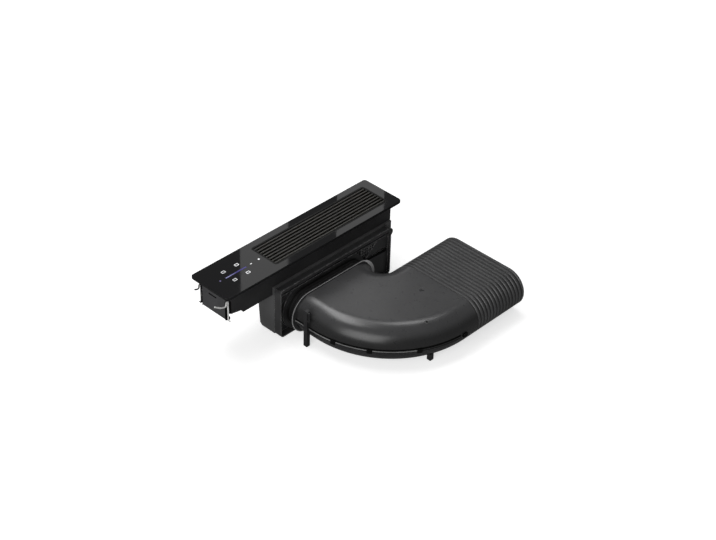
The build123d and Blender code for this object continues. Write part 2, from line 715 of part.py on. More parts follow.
def cover_ribs():
    """Inside of the tray: top ledge, rib field, rear panel with a sloping edge and a groove."""
    half = COVER_RIB_T / 2
    face = COVER_FACE - 3
    low = COVER_FLOOR + COVER_RIB_RISE
    deep = COVER_FLOOR - 1
    ribs = span_box(deep, face, PLENUM_FRONT, COVER_BACK, LEDGE_Z - half, LEDGE_Z + half)
    groove_foot = REAR_GROOVE_Z - REAR_GROOVE_H / 2
    groove_top = REAR_GROOVE_Z + REAR_GROOVE_H / 2
    outline = Polyline(
        (REAR_PANEL_FRONT, FLOOR_Z),
        (REAR_PANEL_FRONT, groove_top),
        (REAR_SLOPE_BACK, LEDGE_Z),
        (COVER_BACK, LEDGE_Z),
        (COVER_BACK, FLOOR_Z),
        close=True,
    )
    panel = extrude(Plane.YZ.offset(deep) * make_face(outline), low - deep)
    groove = span_box(low - 4, COVER_FACE, REAR_PANEL_FRONT - 1, COVER_BACK, groove_foot, groove_top)
    ribs = ribs + (panel - groove)
    field_end = RIB_FIELD_START + RIB_FIELD_PITCH * (RIB_FIELD_COLUMNS - 1)
    field_foot = LEDGE_Z - RIB_FIELD_ROW * (RIB_FIELD_ROWS + 0.5)
    for index in range(RIB_FIELD_COLUMNS):
        y = RIB_FIELD_START + RIB_FIELD_PITCH * index
        ribs = ribs + span_box(deep, low, y - half, y + half, field_foot, LEDGE_Z)
    for index in range(RIB_FIELD_ROWS):
        z = LEDGE_Z - RIB_FIELD_ROW * (index + 1)
        ribs = ribs + span_box(deep, low, RIB_FIELD_START, field_end, z - half, z + half)
    return ribs


def cover_clips():
    """Snap hooks along the top ledge of the side cover."""
    clips = []
    foot = LEDGE_Z + COVER_RIB_T / 2
    half = COVER_CLIP_W / 2
    for y in COVER_CLIP_Y:
        hook = span_box(COVER_FLOOR, COVER_FLOOR + 9, y - half, y + half, foot, foot + COVER_CLIP_H)
        nose = span_box(COVER_FLOOR + 5, COVER_FLOOR + 12, y - half + 2, y + half - 2, foot + 1.5, foot + 5)
        clips.append(hook + nose)
    return clips


def cover_screw_points():
    """Screw seats on the tray floor: above the ledge and beside the boss, at both ends."""
    high = LEDGE_Z + COVER_RIB_T / 2 + SCREW_HEAD_R + SMALL_CLEARANCE
    low = FLOOR_Z + 12
    front = PLENUM_FRONT + 10
    back = COVER_BACK - 9
    return [(COVER_FLOOR, front, high), (COVER_FLOOR, back, high), (COVER_FLOOR, front, low)]


def cover_screws():
    """Screws through the tray floor into the plenum wall."""
    return [screw(point, (-1, 0, 0)) for point in cover_screw_points()]


def cover_screw_holes():
    """Pilot holes for the cover screws, cut through the tray floor and the plenum wall."""
    return [rod(SCREW_SHANK_R, SCREW_LENGTH + 1, point, (-1, 0, 0)) for point in cover_screw_points()]


# ---------------------------------------------------------------- collar, bellows and inlet ring
def outlet_collar():
    """Flat-oval spigot from the boss into the bend's inlet, with a flange on the boss."""
    tube = oval_on_x(COLLAR_W, COLLAR_H, COLLAR_MID, BOSS_FACE, COLLAR_END_X)
    rim = 2 * COLLAR_FLANGE
    flange = oval_on_x(COLLAR_W + rim, COLLAR_H + rim, COLLAR_MID, BOSS_FACE, BOSS_FACE + 2)
    slim = 2 * COLLAR_WALL
    bore = oval_on_x(COLLAR_W - slim, COLLAR_H - slim, COLLAR_MID, BOSS_FACE - 1, COLLAR_END_X + 1)
    return tube + flange - bore


def collar_bellows():
    """Rubber sleeve with two beads that fills the gap between the flange and the bend."""
    start = BOSS_FACE + 2
    end = RING_X0
    inner = 2 * SMALL_CLEARANCE
    outer = 2 * BELLOWS_T
    tube = oval_on_x(COLLAR_W + outer, COLLAR_H + outer, COLLAR_MID, start, end)
    bead = outer + 2 * BELLOWS_BEAD
    room = (end - start - 2 * BELLOWS_BEAD_W) / 3
    for index in range(2):
        x0 = start + room + index * (BELLOWS_BEAD_W + room)
        ring = oval_on_x(COLLAR_W + bead, COLLAR_H + bead, COLLAR_MID, x0, x0 + BELLOWS_BEAD_W)
        ring = chamfer(ring.edges().group_by(Axis.X)[0] + ring.edges().group_by(Axis.X)[-1], BELLOWS_BEVEL)
        tube = tube + ring
    return tube - oval_on_x(COLLAR_W + inner, COLLAR_H + inner, COLLAR_MID, start - 1, end + 1)


def inlet_ring():
    """Stiff flat-oval ring round the bend's mouth."""
    width = RING_BACK - RING_FRONT
    ring = oval_on_x(width, RING_H, RING_MID, RING_X0, RING_X1)
    ring = chamfer(ring.edges().group_by(Axis.X)[0], RING_BEVEL)
    play = 2 * SMALL_CLEARANCE
    return ring - oval_on_x(COLLAR_W + play, COLLAR_H + play, COLLAR_MID, RING_X0 - 1, RING_X1 + 1)


# ---------------------------------------------------------------- flat-duct bend
def bend_face(inset):
    """Plan outline of the bend, longer than needed at both ends, drawn in by an inset."""
    slope = (BEND_THROAT_CORNER_Y - BEND_THROAT_Y) / (DUCT_LEFT - RING_X1)
    early = RING_X1 - BEND_OVERRUN
    late = RIB_START + BEND_OVERRUN
    outline = Polyline(
        (early, BEND_FRONT),
        (DUCT_RIGHT, BEND_FRONT),
        (DUCT_RIGHT, late),
        (DUCT_LEFT, late),
        (DUCT_LEFT, BEND_THROAT_CORNER_Y),
        (early, BEND_THROAT_Y + slope * (early - RING_X1)),
        close=True,
    )
    face = make_face(outline)
    outer = face.vertices().sort_by_distance((DUCT_RIGHT, BEND_FRONT))[0]
    face = fillet(outer, BEND_OUTER_R)
    inner = face.vertices().sort_by_distance((DUCT_LEFT, BEND_THROAT_CORNER_Y))[0]
    face = fillet(inner, BEND_INNER_R)
    return offset(face, -inset) if inset else face


def bend_solid(inset):
    """Bend body whose side walls are rounded from top to bottom."""
    body = extrude(Pos(0, 0, BEND_FOOT + inset) * bend_face(inset), BEND_H - 2 * inset)

    def long_edges(group):
        faces_away = []
        for edge in group:
            box = edge.bounding_box()
            at_inlet = box.size.X < 0.01 and box.min.X < RING_X1
            at_outlet = box.size.Y < 0.01 and box.min.Y > RIB_START
            if not at_inlet and not at_outlet:
                faces_away.append(edge)
        return faces_away

    body = fillet(long_edges(body.edges().group_by(Axis.Z)[-1]), BEND_SHOULDER_R - inset)
    body = fillet(long_edges(body.edges().group_by(Axis.Z)[0]), BEND_SHOULDER_R - inset)
    ends = span_box(RING_X1, DUCT_RIGHT + 1, BEND_FRONT - 1, RIB_START, BEND_FOOT - 1, BEND_TOP + 1)
    return body & ends


def tray_zone(z0, z1):
    """Plan area that the lower shell covers: all of the bend up to short of the outlet."""
    outline = Polyline(
        (RING_X1, BEND_FRONT - 10),
        (DUCT_RIGHT + 10, BEND_FRONT - 10),
        (DUCT_RIGHT + 10, TRAY_BACK),
        (DUCT_LEFT - 5, TRAY_BACK),
        (DUCT_LEFT - 15, TRAY_BACK + 35),
        (RING_X1, TRAY_BACK + 35),
        close=True,
    )
    return extrude(Pos(0, 0, z0) * make_face(outline), z1 - z0)


def seam_flange(z0, z1, inner):
    """Thin flange that stands out from the wall along the seam."""
    plate = extrude(Pos(0, 0, z0) * bend_face(-SEAM_FLANGE_REACH), z1 - z0)
    return (plate & tray_zone(z0, z1)) - inner


def bend_shells():
    """Upper shell that carries the whole oval outlet, and the lower shell under the seam."""
    outer = bend_solid(0)
    inner = bend_solid(BEND_WALL)
    below = tray_zone(BEND_FOOT - 1, SEAM_Z)
    upper = (outer - inner - below) + seam_flange(SEAM_Z, SEAM_Z + SEAM_FLANGE_T, inner)
    lower = ((outer - inner) & below) + seam_flange(SEAM_Z - SEAM_FLANGE_T, SEAM_Z, inner)
    return upper, lower


def seam_clips(upper, lower):
    """Clips that grip the two seam flanges round the outer curve."""
    clips = []
    for angle in CLIP_ANGLES:
        turn = math.radians(angle)
        inside = BEND_OUTER_R - 1
        outside = BEND_OUTER_R + CLIP_PROUD
        radius = (inside + outside) / 2
        x = ARC_X + radius * math.cos(turn)
        y = ARC_Y + radius * math.sin(turn)
        block = Box(outside - inside, CLIP_W, CLIP_H)
        block = fillet(block.edges().filter_by(Axis.X), 1.5)
        block = Pos(x, y, SEAM_Z) * Rot(0, 0, angle) * block
        block = block - upper - lower
        clips.append(block.solids().sort_by(SortBy.VOLUME)[-1])
    return clips


# ---------------------------------------------------------------- ribbed outlet
def ribbed_duct():
    """Flat-oval ribbed hose end: one ruled loft through four sections a rib, less its bore."""
    sections = []
    low_w = DUCT_W - 2 * RIB_HEIGHT
    low_h = BEND_H - 2 * RIB_HEIGHT
    for index in range(RIB_COUNT):
        start = RIB_START + index * RIB_PITCH
        steps = (
            (start, low_w, low_h),
            (start + RIB_ROOT, low_w, low_h),
            (start + RIB_ROOT + RIB_FLANK, DUCT_W, BEND_H),
            (start + RIB_ROOT + RIB_FLANK + RIB_CREST, DUCT_W, BEND_H),
        )
        for y, width, height in steps:
            plane = Plane(origin=(DUCT_MID, y, DUCT_AXIS_Z), x_dir=(1, 0, 0), z_dir=(0, 1, 0))
            sections.append(plane * oval(width, height))
    plane = Plane(origin=(DUCT_MID, DUCT_END, DUCT_AXIS_Z), x_dir=(1, 0, 0), z_dir=(0, 1, 0))
    sections.append(plane * oval(low_w, low_h))
    skin = loft(sections, ruled=True)
    return skin - oval_on_y(BORE_W, BORE_H, RIB_START - 1, DUCT_END + 1)


def joint_sleeve():
    """Inner sleeve that lines up the bend's outlet and the ribbed end."""
    outer_w = BORE_W - 2 * SMALL_CLEARANCE
    outer_h = BORE_H - 2 * SMALL_CLEARANCE
    tube = oval_on_y(outer_w, outer_h, RIB_START - SLEEVE_HALF, RIB_START + SLEEVE_HALF)
    slim = 2 * SLEEVE_T
    bore = oval_on_y(outer_w - slim, outer_h - slim, RIB_START - SLEEVE_HALF - 1, RIB_START + SLEEVE_HALF + 1)
    return tube - bore


# ---------------------------------------------------------------- feet
def support_post(upper, lower):
    """Channel post at the bend's front wall, with a cable loop at its top."""
    half = POST_W / 2
    left = POST_X - half
    right = POST_X + half
    back = BEND_FRONT + 3
    front = BEND_FRONT - POST_D
    wall = POST_WALL
    post = span_box(left, right, front, back, FLOOR_Z, POST_TOP)
    post = post - span_box(left + wall, right - wall, front + wall, back + 1, FLOOR_Z + 12, POST_TOP - 8)
    loop_foot = POST_TOP - POST_LOOP_H
    loop_end = right + POST_LOOP_W
    loop = span_box(right - 1, loop_end, front, front + wall, loop_foot, POST_TOP)
    window = span_box(right, loop_end - wall, front - 1, front + 5, loop_foot + wall, POST_TOP - wall)
    post = fillet((post + loop).edges().filter_by(Axis.Y).group_by(Axis.Z)[-1], 2) - window
    bridge = span_box(left, right, BEND_FRONT - 4, back, SEAM_Z - 12, SEAM_Z + 12)
    post = (post + bridge) - upper - lower
    return post.solids().sort_by(SortBy.VOLUME)[-1]


def support_peg(lower):
    """Square peg foot under the bend's outer curve."""
    half = PEG_SIZE / 2
    peg = span_box(PEG_X - half, PEG_X + half, PEG_Y - half, PEG_Y + half, FLOOR_Z, BEND_FOOT + 12)
    peg = fillet(peg.edges().filter_by(Axis.Z), 1.5)
    peg = peg - lower - bend_solid(BEND_WALL)
    return peg.solids().sort_by(Axis.Z)[0]


# ---------------------------------------------------------------- build
upper_shell, lower_shell = bend_shells()

save("glass_panel", glass_panel())
save("glass_seal", glass_seal())
save("housing_body", housing_body())
save("cable_gland", cable_gland())
save("front_plate", front_plate())
save("clamp_bracket_right", clamp_bracket())
save("clamp_bracket_left", mirror_x(clamp_bracket()))
save("clamp_wire_right", clamp_wire((WIRE_KNEE_REACH, WIRE_KNEE), (WIRE_TIP_REACH, WIRE_TIP)))
save("clamp_wire_left", mirror_x(clamp_wire((SHORT_TIP_REACH, SHORT_TIP))))
save("grille_seat", grille_seat())
save("grille_frame", grille_frame())
save("grille_bars", *grille_bars())
save("filter_rail_right", filter_rail())
save("filter_rail_left", mirror_x(filter_rail()))
save("filter_frame", filter_frame())
save("filter_pleats", filter_pleats())
save("filter_handle", filter_handle())
save("control_box", control_box())
save("control_board", control_board())
save("light_guides", *light_guides())
save("plenum_body", plenum_body())
save("plenum_seal", plenum_seal())
save("side_cover", side_cover())
save("cover_clips", *cover_clips())
save("cover_screws", *cover_screws())
save("outlet_collar", outlet_collar())
save("collar_bellows", collar_bellows())
save("inlet_ring", inlet_ring())
save("bend_upper_shell", upper_shell)
save("bend_lower_shell", lower_shell)
save("seam_clips", *seam_clips(upper_shell, lower_shell))
save("ribbed_duct", ribbed_duct())
save("joint_sleeve", joint_sleeve())
save("support_post", support_post(upper_shell, lower_shell))
save("support_peg", support_peg(lower_shell))
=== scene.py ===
import json
import math

import bpy
from mathutils import Matrix, Vector


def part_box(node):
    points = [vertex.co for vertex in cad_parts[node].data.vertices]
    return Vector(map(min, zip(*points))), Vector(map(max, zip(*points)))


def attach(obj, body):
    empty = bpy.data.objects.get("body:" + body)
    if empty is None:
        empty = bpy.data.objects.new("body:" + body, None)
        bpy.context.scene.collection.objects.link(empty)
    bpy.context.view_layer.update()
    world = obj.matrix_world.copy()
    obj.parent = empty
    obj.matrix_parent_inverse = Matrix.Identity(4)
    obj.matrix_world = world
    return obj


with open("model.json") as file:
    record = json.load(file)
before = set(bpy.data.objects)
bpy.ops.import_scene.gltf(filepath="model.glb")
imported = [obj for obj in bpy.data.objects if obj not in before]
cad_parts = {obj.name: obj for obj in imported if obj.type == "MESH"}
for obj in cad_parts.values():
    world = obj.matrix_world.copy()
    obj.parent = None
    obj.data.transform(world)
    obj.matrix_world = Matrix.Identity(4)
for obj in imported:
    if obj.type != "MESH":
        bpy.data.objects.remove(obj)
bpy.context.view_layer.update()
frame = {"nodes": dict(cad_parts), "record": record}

# Looks for the built-in downdraft vent.  Metres, in the CAD model's frame: origin at the
# centre of the glass strip's underside, +Y away from the cook, +X to the cook's right.
# Marks and lines are worked out in millimetres, and mesh_piece turns them into metres.

MM = 0.001
GLASS_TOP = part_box("glass_panel")[1].z
FLOOR_GAP = 0.4 * MM
FLOOR_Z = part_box("support_post")[0].z - FLOOR_GAP

# cosines between the rounded and the flat normal, where the edge share starts and where it is full
EDGE_STARTS, EDGE_FULL = 0.99, 0.80


# ---------------------------------------------------------------- node helpers
class Tree:
    """Short calls for building one material's or the world's node tree."""

    def __init__(self, owner):
        owner.use_nodes = True
        self.nodes = owner.node_tree.nodes
        self.links = owner.node_tree.links
        self.nodes.clear()

    def add(self, kind, settings=None, **sockets):
        node = self.nodes.new("ShaderNode" + kind)
        for key, value in (settings or {}).items():
            setattr(node, key, value)
        for key, value in sockets.items():
            self.feed(node.inputs[key.replace("_", " ")], value)
        return node

    def feed(self, socket, value):
        if isinstance(value, bpy.types.NodeSocket):
            self.links.new(value, socket)
        elif value is not None:
            socket.default_value = value

    def math(self, operation, a, b=None):
        node = self.nodes.new("ShaderNodeMath")
        node.operation = operation
        for socket, value in zip(node.inputs, (a, b)):
            self.feed(socket, value)
        return node.outputs[0]

    def span(self, value, low, high, to_low=0.0, to_high=1.0):
        """Value mapped smoothly from one range to another."""
        node = self.nodes.new("ShaderNodeMapRange")
        node.interpolation_type = "SMOOTHSTEP"
        ends = {"Value": value, "From Min": low, "From Max": high, "To Min": to_low, "To Max": to_high}
        for name, number in ends.items():
            self.feed(node.inputs[name], number)
        return node.outputs[0]

    def over(self, share, under, colour):
        """A colour laid over a colour with alpha or over a socket's colour."""
        node = self.nodes.new("ShaderNodeMix")
        node.data_type = "RGBA"
        self.feed(node.inputs["Factor"], share)
        self.feed(node.inputs["A"], under)
        node.inputs["B"].default_value = (*colour, 1)
        return node.outputs["Result"]

    def tone(self, share, dark, light):
        """Colour between two tones."""
        return self.over(share, (*dark, 1), light)

    def place(self, stretch=(1, 1, 1)):
        """The object's own coordinates, scaled."""
        coords = self.nodes.new("ShaderNodeTexCoord")
        mapping = self.nodes.new("ShaderNodeMapping")
        mapping.inputs["Scale"].default_value = stretch
        self.links.new(coords.outputs["Object"], mapping.inputs["Vector"])
        return mapping.outputs[0]

    def axis(self, name):
        """One of the object's own coordinates, in metres."""
        return self.add("SeparateXYZ", None, Vector=self.place()).outputs[name]

    def noise(self, size, detail=3.0, rough=0.5, stretch=(1, 1, 1)):
        """Noise whose features are about so many metres across."""
        node = self.nodes.new("ShaderNodeTexNoise")
        node.inputs["Scale"].default_value = 1 / size
        node.inputs["Detail"].default_value = detail
        node.inputs["Roughness"].default_value = rough
        self.links.new(self.place(stretch), node.inputs["Vector"])
        return node.outputs["Fac"]

    def edges(self, radius):
        """Share along edges, from how far the rounded normal leans, and that rounded normal."""
        bevel = self.add("Bevel", {"samples": 4}, Radius=radius)
        plain = self.nodes.new("ShaderNodeNewGeometry")
        dot = self.nodes.new("ShaderNodeVectorMath")
        dot.operation = "DOT_PRODUCT"
        self.links.new(bevel.outputs[0], dot.inputs[0])
        self.links.new(plain.outputs["Normal"], dot.inputs[1])
        return self.span(dot.outputs["Value"], EDGE_STARTS, EDGE_FULL), bevel.outputs[0]

    def bump(self, height, depth, normal=None):
        node = self.add("Bump", None, Height=height, Distance=depth, Strength=1.0, Normal=normal)
        return node.outputs[0]

    def seen(self, mirrored=1.0):
        """1 for camera and transmission rays, and a share for the glossy rays that mirror the background."""
        rays = self.nodes.new("ShaderNodeLightPath").outputs
        direct = self.math("MAXIMUM", rays["Is Camera Ray"], rays["Is Transmission Ray"])
        return self.math("MAXIMUM", direct, self.math("MULTIPLY", rays["Is Glossy Ray"], mirrored))

    def finish(self, shader):
        out = self.nodes.new("ShaderNodeOutputMaterial")
        self.links.new(shader, out.inputs["Surface"])

    def principled(self, **sockets):
        """Ends the tree in one principled shader."""
        self.finish(self.add("BsdfPrincipled", None, **sockets).outputs[0])


# finishes by the name asked for, because Blender renames one whose name the frame already uses
FINISHES = {}


def material(name):
    """The empty tree of a new material."""
    FINISHES[name] = bpy.data.materials.new(name)
    return Tree(FINISHES[name])


def grey(level, blue=None):
    """A grey tone, or one whose blue differs a little."""
    return (level, level, level if blue is None else blue)


# ---------------------------------------------------------------- materials
# tone of painted shade, laid over a finish by its shade share
SHADE_TONE = grey(0.006)


def moulded(name, dark, light, rough=0.45, grain=0.7 * MM, depth=0.03 * MM, edge=0.6 * MM,
            wear_and_sheen=grey(0.11, 0.112), wear_and_sheen_share=0.35, specular=0.5, shade=None):
    """Moulded plastic or powder coat: cloudy tone, fine grain, dust in patches, paler edges (wear, and a
    painted highlight on the cover's rims), and painted shade where a shade share is given.
    """
    tree = material(name)
    cloud = tree.noise(55 * MM, 4.0, 0.55)
    fine = tree.noise(grain, 2.0, 0.6)
    dust = tree.noise(14 * MM, 5.0, 0.65)
    colour = tree.tone(tree.span(cloud, 0.3, 0.7), dark, light)
    edge_share, soft = tree.edges(edge)
    broken = tree.math("MULTIPLY", edge_share, tree.span(dust, 0.35, 0.62))
    colour = tree.over(tree.math("MULTIPLY", broken, wear_and_sheen_share), colour, wear_and_sheen)
    # painted shade: the tone darkened by the shade share
    if shade:
        colour = tree.over(shade(tree), colour, SHADE_TONE)
    roughness = tree.math("ADD", tree.span(dust, 0.25, 0.75, 0.97 * rough, 1.04 * rough),
                          tree.math("MULTIPLY", fine, 0.02))
    tree.principled(Base_Color=colour, Roughness=roughness, Normal=tree.bump(fine, depth, soft),
                    Specular_IOR_Level=specular)
    return FINISHES[name]


RIB_START, RIB_PITCH, RIB_ROOT = 168.0 * MM, 10.28 * MM, 3.6 * MM
# painted shade in the roots between the ribs: where it is full, where it ends, and how dark
ROOT_CORE, ROOT_EDGE, ROOT_SHADE = 0.10, 0.26, 0.85


def ribbed_root(tree):
    """Share of painted shade along the ribbed duct: in the roots between the ribs."""
    past_start = tree.math("SUBTRACT", tree.axis("Y"), RIB_START - 0.5 * RIB_ROOT)
    turn = tree.math("FRACT", tree.math("DIVIDE", past_start, RIB_PITCH))
    away = tree.math("ABSOLUTE", tree.math("SUBTRACT", turn, RIB_ROOT / RIB_PITCH))
    return tree.span(away, ROOT_CORE, ROOT_EDGE, ROOT_SHADE, 0.0)


# painted shade on the bend's outer wall, darker towards the seam
SKIRT_TOP, SKIRT_FOOT, SKIRT_SHADE = -80.0 * MM, -98.0 * MM, 0.75


def bend_skirt(tree):
    """Share of painted shade down the bend's wall, towards the seam."""
    return tree.span(tree.axis("Z"), SKIRT_TOP, SKIRT_FOOT, 0.0, SKIRT_SHADE)


def glass_black():
    """Black glass: near-black body with fine specks, faint smears, paler ground edges."""
    tree = material("glass_black")
    smear = tree.noise(38 * MM, 5.0, 0.6, (1, 0.4, 1))
    specks = tree.noise(1.6 * MM, 1.0, 0.5)
    colour = tree.tone(tree.span(specks, 0.72, 0.80), grey(0.0100, 0.0105), grey(0.024, 0.025))
    edge_share, soft = tree.edges(0.5 * MM)
    colour = tree.over(tree.math("MULTIPLY", edge_share, 0.15), colour, (0.030, 0.032, 0.034))
    tree.principled(Base_Color=colour, Roughness=tree.span(smear, 0.35, 0.75, 0.012, 0.05), Normal=soft,
                    IOR=1.5, Specular_IOR_Level=0.17)


def foam(name, dark, light):
    """Foam strip: round pores and a matt surface."""
    tree = material(name)
    cells = tree.add("TexVoronoi", None, Scale=1 / (0.9 * MM), Vector=tree.place())
    pores = tree.span(cells.outputs["Distance"], 0.1, 0.6)
    roughness = tree.span(tree.noise(6 * MM), 0.3, 0.7, 0.82, 0.95)
    tree.principled(Base_Color=tree.tone(pores, dark, light), Roughness=roughness,
                    Normal=tree.bump(pores, 0.15 * MM))


def metal(name, dark, light, rough, streak=(1, 1, 1), grain=0.5 * MM, depth=0.006 * MM,
          edge=0.4 * MM, metallic=1.0):
    """Bare or plated metal: cloudy tone, drawn or rolled streaks, brighter rubbed edges."""
    tree = material(name)
    cloud = tree.noise(9 * MM, 4.0, 0.6)
    lines = tree.noise(grain, 3.0, 0.6, streak)
    edge_share, soft = tree.edges(edge)
    bright = tuple(min(1.0, 1.15 * part) for part in light)
    colour = tree.tone(tree.span(cloud, 0.3, 0.7), dark, light)
    colour = tree.over(tree.math("MULTIPLY", edge_share, 0.4), colour, bright)
    roughness = tree.math("ADD", tree.span(lines, 0.2, 0.8, rough - 0.06, rough + 0.06),
                          tree.span(cloud, 0.3, 0.8, 0.0, 0.06))
    tree.principled(Base_Color=colour, Roughness=roughness, Normal=tree.bump(lines, depth, soft),
                    Metallic=metallic)


def filter_mesh():
    """Expanded aluminium mesh: rows of staggered diamonds with dark openings."""
    tree = material("filter_mesh")
    holes = tree.add("TexVoronoi", None, Scale=1 / (1.7 * MM), Randomness=0.12,
                     Vector=tree.place((1, 1.6, 1.6)))
    open_share = tree.span(holes.outputs["Distance"], 0.42, 0.30)
    strands = tree.tone(tree.noise(8 * MM), grey(0.34, 0.35), grey(0.52, 0.53))
    solid_share = tree.math("SUBTRACT", 1.0, open_share)
    tree.principled(Base_Color=tree.over(open_share, strands, grey(0.012)),
                    Roughness=tree.span(open_share, 0.0, 1.0, 0.32, 0.8),
                    Normal=tree.bump(solid_share, 0.2 * MM), Metallic=solid_share)


def board():
    """Circuit board: solder mask with fine tracks and tinned pads."""
    tree = material("board")
    tracks = tree.add("TexWave", {"bands_direction": "X"}, Scale=1 / (9 * MM), Distortion=6.0, Detail=1.0,
                      Vector=tree.place((1, 0.35, 1)))
    pads = tree.add("TexVoronoi", None, Scale=1 / (4.2 * MM), Randomness=0.3, Vector=tree.place())
    line = tree.span(tracks.outputs["Fac"], 0.48, 0.56)
    pad = tree.span(pads.outputs["Distance"], 0.16, 0.12)
    mask = tree.tone(line, (0.006, 0.022, 0.012), (0.016, 0.060, 0.030))
    normal = tree.bump(tree.math("MAXIMUM", line, pad), 0.05 * MM)
    tree.principled(Base_Color=tree.over(pad, mask, (0.52, 0.50, 0.42)), Metallic=pad,
                    Roughness=tree.span(pad, 0, 1, 0.38, 0.25), Normal=normal)


def light_guide():
    """Milky clear plastic that carries light up to the glass."""
    tree = material("light_guide")
    cloud = tree.noise(3 * MM)
    tree.principled(Base_Color=tree.tone(cloud, (0.62, 0.63, 0.66), (0.78, 0.79, 0.82)),
                    Roughness=tree.span(cloud, 0.3, 0.7, 0.28, 0.4),
                    Normal=tree.bump(tree.noise(0.4 * MM), 0.01 * MM),
                    Subsurface_Weight=0.4, Subsurface_Scale=1 * MM)


def lit(name, first, last, strength, along, start, end):
    """A lit mark, whose colour turns from the first to the last between two places along an axis."""
    tree = material(name)
    share = tree.span(tree.axis(along), start, end)
    speck = tree.noise(0.9 * MM, 2.0)
    colour = tree.tone(tree.math("MULTIPLY", share, tree.span(speck, 0.0, 0.5, 0.8, 1.0)), first, last)
    tree.principled(Base_Color=colour, Roughness=tree.span(speck, 0.3, 0.7, 0.2, 0.3),
                    Emission_Color=colour, Emission_Strength=strength)
    return FINISHES[name]


# streaks run along the axis whose scale is small
STREAK_UP, STREAK_BACK = (1, 1, 0.15), (1, 0.1, 1)

glass_black()
foam("seal_foam", grey(0.010, 0.011), grey(0.030, 0.032))
moulded("housing_coat", grey(0.0175, 0.0180), grey(0.0235, 0.0240), rough=0.50, grain=1.1 * MM,
        wear_and_sheen=grey(0.06, 0.062), specular=0.35)
moulded("gland_plastic", grey(0.010, 0.011), grey(0.018, 0.019), rough=0.42)
moulded("plate_coat", grey(0.038, 0.040), grey(0.052, 0.054), rough=0.48, grain=0.9 * MM,
        wear_and_sheen=grey(0.14, 0.142), wear_and_sheen_share=0.4)
moulded("bracket_plastic", grey(0.0010), grey(0.0022), rough=0.50, depth=0.01 * MM, edge=0.3 * MM,
        wear_and_sheen=grey(0.02), wear_and_sheen_share=0.3, specular=0.08)
metal("wire_steel", grey(0.74, 0.73), grey(0.90, 0.89), rough=0.30, streak=STREAK_UP, grain=0.35 * MM,
      metallic=0.35)
# darker copy of the wire steel, for the left clamp wire: painted shade
metal("wire_steel_shaded", grey(0.16), grey(0.26, 0.25), rough=0.34, streak=STREAK_UP, grain=0.35 * MM)
moulded("seat_plastic", grey(0.007), grey(0.012), rough=0.55)
moulded("grille_coat", (0.0100, 0.0095, 0.0068), (0.0165, 0.0155, 0.0112), rough=0.34, grain=0.45 * MM,
        depth=0.012 * MM, edge=0.5 * MM, wear_and_sheen=(0.13, 0.122, 0.088), wear_and_sheen_share=0.55)
metal("rail_steel", (0.40, 0.41, 0.42), (0.56, 0.57, 0.58), rough=0.36, streak=STREAK_BACK)
metal("filter_steel", grey(0.46), grey(0.60), rough=0.30, streak=STREAK_BACK)
filter_mesh()
moulded("control_plastic", grey(0.010), grey(0.017), rough=0.50)
board()
light_guide()
moulded("plenum_coat", grey(0.058, 0.059), grey(0.074, 0.075), rough=0.50, grain=0.9 * MM,
        edge=0.7 * MM, wear_and_sheen=grey(0.14))
# the cover's pale edges are a painted highlight along its rims, over some wear
moulded("cover_plastic", grey(0.024, 0.025), grey(0.034, 0.035), rough=0.40, grain=0.6 * MM,
        depth=0.012 * MM, edge=1.2 * MM, wear_and_sheen=grey(0.42), wear_and_sheen_share=0.95)
moulded("clip_plastic", grey(0.0012), grey(0.0030), rough=0.42, grain=0.6 * MM, depth=0.01 * MM,
        edge=0.5 * MM, wear_and_sheen=grey(0.05), wear_and_sheen_share=0.6, specular=0.12)
metal("screw_steel", grey(0.10), grey(0.18), rough=0.34)
moulded("collar_plastic", grey(0.007), grey(0.012), rough=0.42)
moulded("bellows_rubber", grey(0.0040), grey(0.0080), rough=0.62, grain=0.5 * MM, depth=0.02 * MM,
        wear_and_sheen=grey(0.05), wear_and_sheen_share=0.3, specular=0.25)
moulded("ring_plastic", grey(0.022, 0.023), grey(0.030, 0.031), rough=0.30, grain=0.6 * MM,
        depth=0.006 * MM, wear_and_sheen=grey(0.10), wear_and_sheen_share=0.5)
moulded("bend_plastic", grey(0.038, 0.039), grey(0.044, 0.045), rough=0.27, depth=0.003 * MM,
        edge=0.8 * MM, wear_and_sheen=grey(0.12), wear_and_sheen_share=0.3, shade=bend_skirt)
moulded("bend_plastic_lower", grey(0.013, 0.014), grey(0.019, 0.020), rough=0.24, depth=0.003 * MM,
        edge=0.8 * MM, wear_and_sheen=grey(0.16), wear_and_sheen_share=0.5)
moulded("ribbed_plastic", grey(0.044, 0.045), grey(0.056, 0.057), rough=0.38, depth=0.004 * MM,
        edge=0.5 * MM, wear_and_sheen=grey(0.10), shade=ribbed_root)
moulded("foot_plastic", grey(0.012, 0.013), grey(0.022, 0.023), rough=0.42)

NODE_SLOTS = {row["node"]: row["material_slot"] for row in frame["record"]["subparts"]}

# nodes that look different from the rest of their slot: the left clamp wire's darker steel is painted shade
OWN_FINISHES = {"clamp_wire_left": "wire_steel_shaded"}

for node_name, node in frame["nodes"].items():
    finish = FINISHES[OWN_FINISHES.get(node_name, NODE_SLOTS[node_name])]
    if not node.data.materials:
        node.data.materials.append(finish)
    for holder in node.material_slots:
        holder.material = finish


# ---------------------------------------------------------------- marks on the glass
def mesh_piece(name, verts, faces, finish, slot, body="root"):
    mesh = bpy.data.meshes.new(name)
    mesh.from_pydata([Vector(v) * MM for v in verts], [], faces)
    mesh.update()
    piece = bpy.data.objects.new(name, mesh)
    bpy.context.scene.collection.objects.link(piece)
    mesh.materials.append(finish)
    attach(piece, body)


